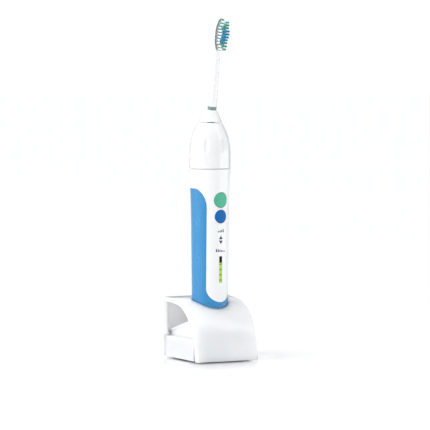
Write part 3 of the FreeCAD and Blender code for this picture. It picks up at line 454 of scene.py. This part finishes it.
def wound(name, color):
    """Enamelled copper wire, wound in even turns, with painted shade darkening the grooves between the turns."""
    surface = Surface(name, Metallic=1.0, Coat_Weight=0.5, Coat_Roughness=0.15)
    wave = surface.node("ShaderNodeTexWave", wave_type="BANDS", bands_direction="Z", wave_profile="SIN")
    wave.inputs["Scale"].default_value = WIRE_SCALE
    wave.inputs["Distortion"].default_value = 0.4
    wave.inputs["Detail"].default_value = 1.0
    surface.link(surface.place, wave.inputs["Vector"])
    # Painted shade: the colour darkens towards the low side of the wave, in the grooves between turns.
    surface.color(surface.ramp(wave.outputs["Fac"], [(0.0, tinted(color, 0.35)), (0.6, color)]))
    surface.roughness(surface.span(surface.noise(400.0), 0.25, 0.4))
    surface.bump(wave.outputs["Fac"], 0.00012)
    return surface.material


def circuit_board(name):
    """Solder mask over tracks."""
    surface = Surface(name, Coat_Weight=0.3)
    cells = surface.node("ShaderNodeTexVoronoi", distance="MANHATTAN", feature="DISTANCE_TO_EDGE")
    cells.inputs["Scale"].default_value = 420.0
    surface.link(surface.place, cells.inputs["Vector"])
    surface.color(surface.ramp(cells.outputs["Distance"], [
        (0.0, (0.02, 0.10, 0.04)), (0.08, (0.015, 0.16, 0.06)), (0.14, (0.02, 0.24, 0.09))]))
    surface.roughness(surface.span(surface.noise(200.0), 0.3, 0.5))
    surface.bump(cells.outputs["Distance"], 0.00003)
    return surface.material


WHITE = (0.862, 0.866, 0.878)
BLUE = (0.022, 0.235, 0.52)
MATERIALS = {
    "white_shell": moulded("white_gloss", WHITE, (0.12, 0.2), coat=0.25),
    "stand_white": moulded("stand_gloss", (0.885, 0.90, 0.922), (0.14, 0.24), coat=0.2, subsurface=1.0,
                           edge=0.0011),
    "charger_white": moulded("charger_satin", (0.85, 0.86, 0.88), (0.3, 0.42), grain=1800.0, depth=0.00002,
                             subsurface=0.5),
    "blue_grip": rubbery("soft_blue", BLUE, (0.24, 0.34)),
    "teal_button": moulded("teal_satin", (0.075, 0.43, 0.28), (0.36, 0.46), spread=0.05, specular=0.25),
    "blue_button": moulded("deep_blue_satin", (0.003, 0.125, 0.41), (0.36, 0.46), spread=0.06,
                           specular=0.12),
    "seal_rubber": rubbery("grey_seal", (0.30, 0.32, 0.33)),
    "dark_rubber": rubbery("dark_rubber", (0.035, 0.036, 0.04)),
    "dark_plastic": moulded("dark_matt", (0.05, 0.055, 0.06), (0.45, 0.6), spread=0.1),
    "lime_lens": lit_lens("lime_clear", (0.47, 0.64, 0.10), (0.20, 0.37, 0.03)),
    "black_lens": moulded("black_satin", (0.006, 0.008, 0.006), (0.4, 0.5), spread=0.1, specular=0.1),
    "copper": wound("copper_wire", (0.75, 0.33, 0.15)),
    "ferrite": moulded("ferrite", (0.05, 0.05, 0.055), (0.5, 0.7), grain=3000.0, depth=0.00004,
                       spread=0.15),
    "board": circuit_board("board"),
    "steel": metallic("zinc_steel", (0.56, 0.57, 0.58)),
    "magnet": metallic("nickel", (0.62, 0.61, 0.58), (0.12, 0.22), (900, 900, 900)),
    "cell_wrap": moulded("cell_wrap", (0.05, 0.22, 0.16), (0.2, 0.3), coat=0.2, spread=0.08),
    "inner_plastic": moulded("grey_nylon", (0.28, 0.30, 0.33), (0.45, 0.6), grain=2400.0, depth=0.00003,
                             spread=0.06),
    # The dark grey-teal rim round the brush face is painted shade along the face's edge.
    "ring_teal": moulded("rim_painted_shade", (0.17, 0.27, 0.28), (0.2, 0.3), spread=0.06),
    "capacitor": moulded("can_sleeve", (0.02, 0.05, 0.12), (0.25, 0.35), spread=0.1),
}
INK = moulded("navy_ink", (0.02, 0.07, 0.15), (0.5, 0.6), spread=0.1, specular=0.1)


# ---------------------------------------------------------------------------------------------
# Brush: every tuft is a bunch of separate filaments
# ---------------------------------------------------------------------------------------------
FILAMENTS = 44
FILAMENT_RADIUS = 0.085 * MM
FILAMENT_SIDES = 5
FILAMENT_STATIONS = [(0.0, 1.0), (0.5, 1.0), (0.8, 1.0), (0.94, 0.95), (0.985, 0.7), (1.0, 0.25)]
CORE_SIDES = 12
CORE_STATIONS = [(0.0, 1.0), (0.5, 1.06), (0.85, 1.2), (0.95, 1.18), (1.0, 0.85)]
CORE_SHARE = 1.08
SPLAY = 0.34
GOLDEN_ANGLE = 2.39996
ANGLE_JITTER = 0.2
ROOT_SHARE = 0.9
THINNEST = 0.85
THICKEST = 1.1
ROOT_SINK = 0.15 * MM
UNEVEN_END_MM = 0.35
WANDER_MM = 0.05
CORE_SHORT = 0.45 * MM
DYE_START = 0.86
DYE_BLEND = 0.05
BRISTLES = [
    ("bristles_heel", (0.90, 0.97, 0.96), (0.16, 0.56, 0.47)),
    ("bristles_centre", (0.93, 0.98, 0.99), (0.035, 0.46, 0.74)),
    ("bristles_toe", (0.66, 0.86, 0.82), (0.17, 0.54, 0.46)),
]


def islands(node):
    """The separate solids of a CAD node, each as its corners in the stem's frame."""
    mesh = frame["nodes"][node].data
    work = bmesh.new()
    work.from_mesh(mesh)
    bmesh.ops.remove_doubles(work, verts=work.verts, dist=1e-7)
    into = STEM.inverted()
    left = set(work.verts)
    found = []
    while left:
        edge = [left.pop()]
        group = []
        while edge:
            vertex = edge.pop()
            group.append(into @ vertex.co)
            for link in vertex.link_edges:
                other = link.other_vert(vertex)
                if other in left:
                    left.discard(other)
                    edge.append(other)
        found.append(group)
    work.free()
    found.sort(key=lambda group: (round(min(p.z for p in group), 4), round(min(p.x for p in group), 4)))
    return found


def strand(work, tip, root, end, lean, radius, sides, stations):
    """A thin closed strand from root to end that leans more and more, with (part, width) stations."""
    rings = []
    for part, width in stations:
        centre = root.lerp(end, part) + lean * part * part
        ring = []
        for side in range(sides):
            angle = 2 * math.pi * side / sides
            vertex = work.verts.new(centre + Vector((math.cos(angle), 0, math.sin(angle))) * radius * width)
            vertex[tip] = part
            ring.append(vertex)
        rings.append(ring)
    for low, high in zip(rings, rings[1:]):
        for side in range(sides):
            after = (side + 1) % sides
            work.faces.new((low[side], low[after], high[after], high[side]))
    work.faces.new(rings[-1])
    work.faces.new(list(reversed(rings[0])))


def bristle_group(node, material, seed):
    """All the tufts of one colour group as a single piece."""
    dice = random.Random(seed)
    mesh = bpy.data.meshes.new(f"{node}_filaments")
    work = bmesh.new()
    tip = work.verts.layers.float.new("tip")
    for group in islands(node):
        low = Vector([min(p[axis] for p in group) for axis in range(3)])
        high = Vector([max(p[axis] for p in group) for axis in range(3)])
        centre = (low + high) / 2
        reach = (high.x - low.x) / 2 - FILAMENT_RADIUS
        for index in range(FILAMENTS):
            spread = math.sqrt((index + 0.5) / FILAMENTS) * reach
            angle = index * GOLDEN_ANGLE + dice.uniform(-ANGLE_JITTER, ANGLE_JITTER)
            place = Vector((math.cos(angle), 0, math.sin(angle))) * spread
            root = Vector((centre.x, high.y + ROOT_SINK, centre.z)) + place * ROOT_SHARE
            end = Vector((centre.x, low.y + dice.uniform(0.0, UNEVEN_END_MM) * MM, centre.z)) + place
            lean = Vector((dice.uniform(-1, 1), 0, dice.uniform(-1, 1))) * WANDER_MM * MM + place * SPLAY
            width = FILAMENT_RADIUS * dice.uniform(THINNEST, THICKEST)
            strand(work, tip, root, end, lean, width, FILAMENT_SIDES, FILAMENT_STATIONS)
        root = Vector((centre.x, high.y, centre.z))
        end = Vector((centre.x, low.y + CORE_SHORT, centre.z))
        strand(work, tip, root, end, Vector((0, 0, 0)), reach * CORE_SHARE, CORE_SIDES, CORE_STATIONS)
    bmesh.ops.recalc_face_normals(work, faces=work.faces)
    work.to_mesh(mesh)
    work.free()
    for face in mesh.polygons:
        face.use_smooth = True
    mesh.materials.append(material)
    piece = bpy.data.objects.new(f"{node}_filaments", mesh)
    piece.matrix_world = STEM
    bpy.context.scene.collection.objects.link(piece)
    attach(piece, "brush")
    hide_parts(node)


def bristle_material(name, low, high):
    """Nylon with painted shade darkening the root end where the filaments meet the head, pale along the rest of
    its length and dye-coloured at its end.
    """
    surface = Surface(name, Roughness=0.5, IOR=1.4, Specular_IOR_Level=0.2)
    length = surface.node("ShaderNodeAttribute", attribute_name="tip")
    # The first stop is painted shade: each filament is darker at its root, then pale, then dye-coloured at the
    # tip.
    dye_and_root_shade = surface.ramp(length.outputs["Fac"], [
        (0.0, tinted(low, 0.8)), (0.15, low), (DYE_START - DYE_BLEND, low), (DYE_START + DYE_BLEND, high),
        (1.0, high)])
    shade = surface.ramp(surface.noise(1500.0, 2), [(0.3, (0.9, 0.91, 0.92)), (0.7, (1.0, 1.0, 1.0))])
    mix = surface.node("ShaderNodeMix", data_type="RGBA", blend_type="MULTIPLY")
    mix.inputs["Factor"].default_value = 0.6
    surface.link(dye_and_root_shade, mix.inputs["A"])
    surface.link(shade, mix.inputs["B"])
    surface.color(mix.outputs["Result"])
    return surface.material


# ---------------------------------------------------------------------------------------------
# Marks on the front of the handle: plain shapes in place of words
# ---------------------------------------------------------------------------------------------
ARROW_HALF = 1.6
ARROW_TALL = 2.7
BAR_WIDTH = 0.85
RISING_BARS = [0.9, 1.35, 1.8, 2.25]
FALLING_BARS = [2.1, 1.85, 1.6, 1.35, 1.1, 0.85]
RISING_PITCH = 1.45
FALLING_PITCH = 1.4
RAY_START = -0.03
INK_PROUD = 0.03 * MM
INK_THICK = 0.08 * MM
INK_CUTS = 3


def printed_mark(name, height, shapes):
    """Thin printed shapes laid on the housing, each a list of (across, up) corners in millimetres."""
    skin = frame["nodes"]["handle_housing"]
    tree = BVHTree.FromPolygons([vertex.co.copy() for vertex in skin.data.vertices],
                                [list(face.vertices) for face in skin.data.polygons])
    inward = HANDLE.to_3x3() @ Vector((0, 1, 0))
    mesh = bpy.data.meshes.new(name)
    work = bmesh.new()
    for corners in shapes:
        flat = [work.verts.new(Vector((x * MM, 0, y * MM))) for x, y in corners]
        work.faces.new(flat)
    bmesh.ops.triangulate(work, faces=work.faces)
    bmesh.ops.subdivide_edges(work, edges=work.edges, cuts=INK_CUTS, use_grid_fill=True)
    for vertex in work.verts:
        start = HANDLE @ Vector((vertex.co.x, RAY_START, vertex.co.z + height * MM))
        hit = tree.ray_cast(start, inward)[0]
        vertex.co = hit - inward * INK_PROUD
    thick = bmesh.ops.extrude_face_region(work, geom=list(work.faces))
    for vertex in thick["geom"]:
        if isinstance(vertex, bmesh.types.BMVert):
            vertex.co += inward * INK_THICK
    bmesh.ops.recalc_face_normals(work, faces=work.faces)
    work.to_mesh(mesh)
    work.free()
    mesh.materials.append(INK)
    piece = bpy.data.objects.new(name, mesh)
    bpy.context.scene.collection.objects.link(piece)
    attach(piece, "handle")


def bars(heights, pitch):
    """A row of upright bars of the given heights, standing on one line."""
    left = -pitch * (len(heights) - 1) / 2
    width = BAR_WIDTH
    return [[(left + pitch * index - width / 2, 0), (left + pitch * index + width / 2, 0),
             (left + pitch * index + width / 2, tall), (left + pitch * index - width / 2, tall)]
            for index, tall in enumerate(heights)]


def print_marks():
    """An up and a down arrow, with a row of rising bars above and of falling bars below."""
    half, tall = ARROW_HALF, ARROW_TALL
    printed_mark("mark_up", 87.0, [[(-half, 0), (half, 0), (0, tall)]])
    printed_mark("mark_down", 83.4, [[(-half, tall), (0, 0), (half, tall)]])
    printed_mark("mark_more", 92.0, bars(RISING_BARS, RISING_PITCH))
    printed_mark("mark_less", 77.9, bars(FALLING_BARS, FALLING_PITCH))


def dress_frame():
    """Give every CAD node that stays in view its slot's material."""
    for name, node in frame["nodes"].items():
        material = MATERIALS.get(SLOTS[name])
        if material is None:
            continue
        for place in node.material_slots:
            place.link = "OBJECT"
            place.material = material


place_camera()
light_scene()
dress_frame()
print_marks()
for number, (node, low, high) in enumerate(BRISTLES):
    bristle_group(node, bristle_material(f"{node}_nylon", low, high), number + 1)
